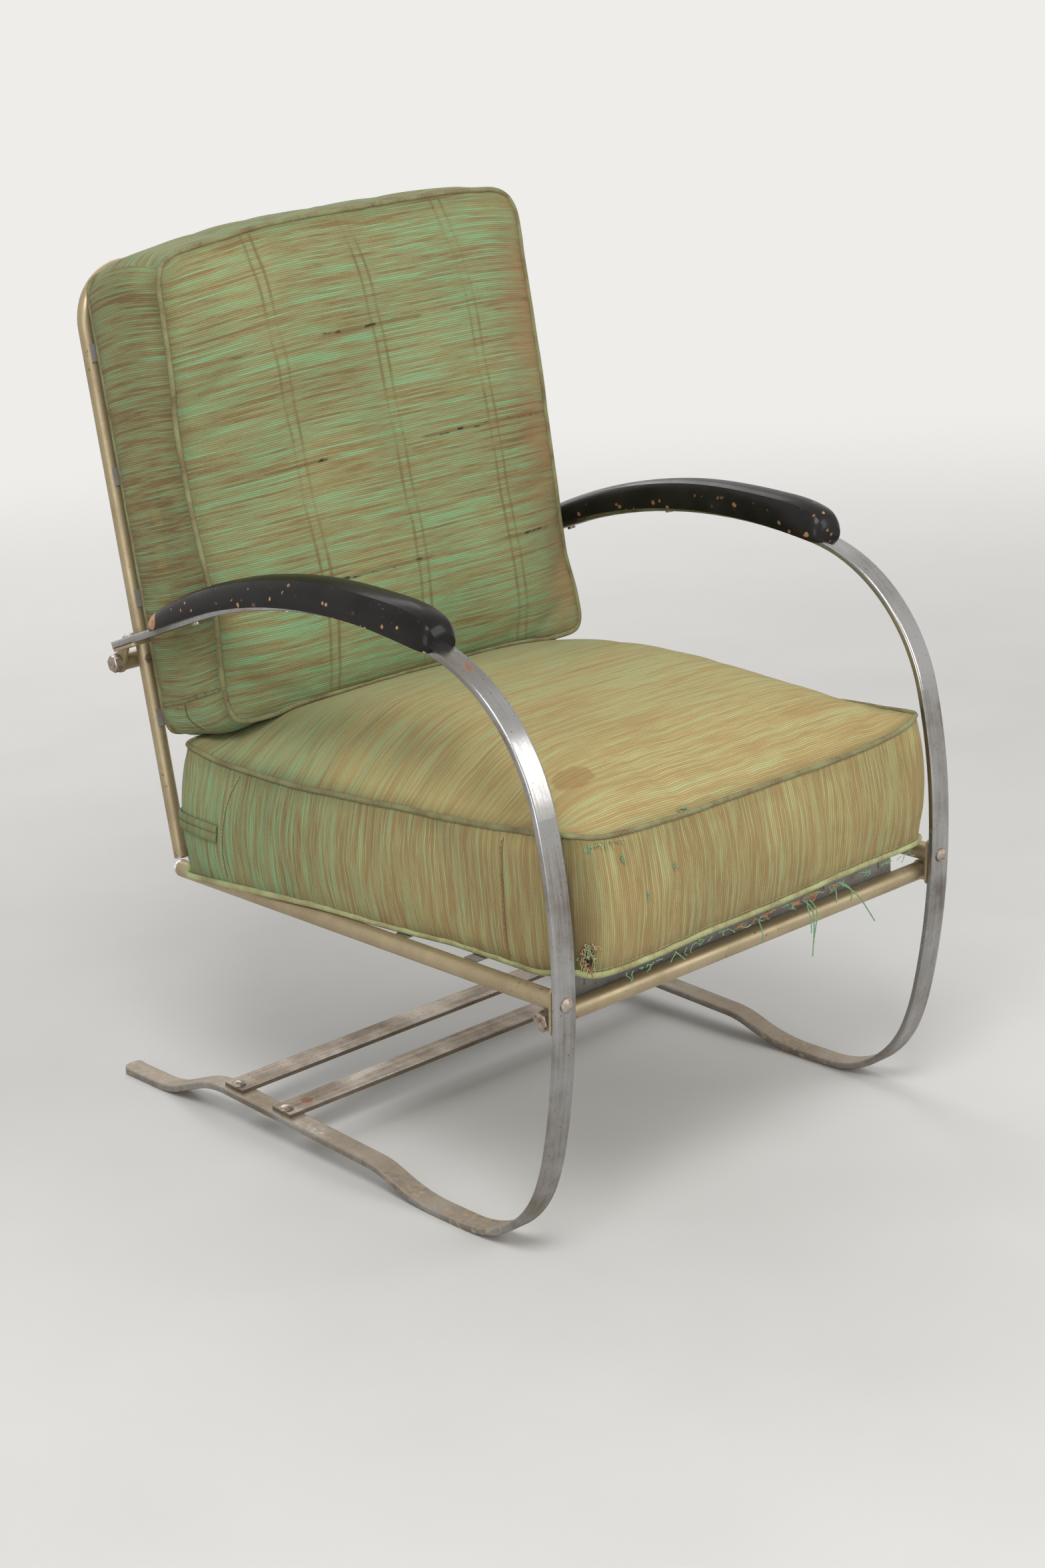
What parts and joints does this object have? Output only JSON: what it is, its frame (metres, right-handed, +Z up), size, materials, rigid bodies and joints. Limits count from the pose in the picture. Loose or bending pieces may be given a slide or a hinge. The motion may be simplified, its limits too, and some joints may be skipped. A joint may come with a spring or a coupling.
{
  "type": "cantilever armchair",
  "caption": "Springy lounge armchair: bent flat-steel side bars form arms, front legs and floor runners; tube seat and strapped back carry loose box cushions.",
  "frame": {"origin": "on the floor, under the middle of the chair's bounding box", "axes": "+X to the right as seen from the front, +Y to the rear, +Z up; the chair faces -Y"},
  "size_m": [0.5774, 0.7752, 0.9451],
  "materials": {
    "worn_chrome": "worn plating with dull patches",
    "black_wood": "chipped black paint",
    "dull_steel": "dull with a little rust",
    "bare_steel": "brown-grey bare steel",
    "gold_paint": "metallic gold paint with rust specks",
    "bright_cap": "polished",
    "grey_paint": "matt grey",
    "striped_fabric": "slub weave in mint, tan and rust"
  },
  "bodies": {
    "chair_frame": {"arm_bracket_left": "gold_paint", "arm_bracket_right": "gold_paint", "arm_bracket_rivets": "dull_steel", "arm_pad_left": "black_wood", "arm_pad_right": "black_wood", "arm_pad_screws": "dull_steel", "back_frame": "gold_paint", "back_frame_plugs": "dull_steel", "back_lug_bolts": "dull_steel", "back_lug_left": "gold_paint", "back_lug_right": "gold_paint", "back_straps_cross": "grey_paint", "back_straps_upright": "grey_paint", "back_tie_bolts": "dull_steel", "cross_tube_bolts": "dull_steel", "cross_tube_plugs": "dull_steel", "cross_tube_washers": "dull_steel", "floor_brace_front": "bare_steel", "floor_brace_rear": "bare_steel", "floor_brace_rivets": "dull_steel", "front_cross_tube": "gold_paint", "rear_cross_tube": "gold_paint", "seat_bolts": "dull_steel", "seat_bracket_left": "gold_paint", "seat_bracket_right": "gold_paint", "seat_front_rail": "grey_paint", "seat_rear_rail": "grey_paint", "seat_rear_tube": "gold_paint", "seat_straps_cross": "grey_paint", "seat_straps_long": "grey_paint", "seat_tube_caps": "bright_cap", "seat_tube_left": "gold_paint", "seat_tube_plugs": "dull_steel", "seat_tube_right": "gold_paint", "side_bar_left": "worn_chrome", "side_bar_right": "worn_chrome"},
    "seat_pad": {"seat_cushion": "striped_fabric"},
    "back_pad": {"back_cushion": "striped_fabric"}
  },
  "joints": [
    {"name": "back_cushion_lift", "type": "slide", "parent": "chair_frame", "child": "back_pad", "axis": [0, 0.1288, 0.9917], "range_m": [0, 0.2]},
    {"name": "seat_cushion_pull", "type": "slide", "parent": "chair_frame", "child": "seat_pad", "axis": [0, -1, 0], "range_m": [0, 0.15]}
  ]
}
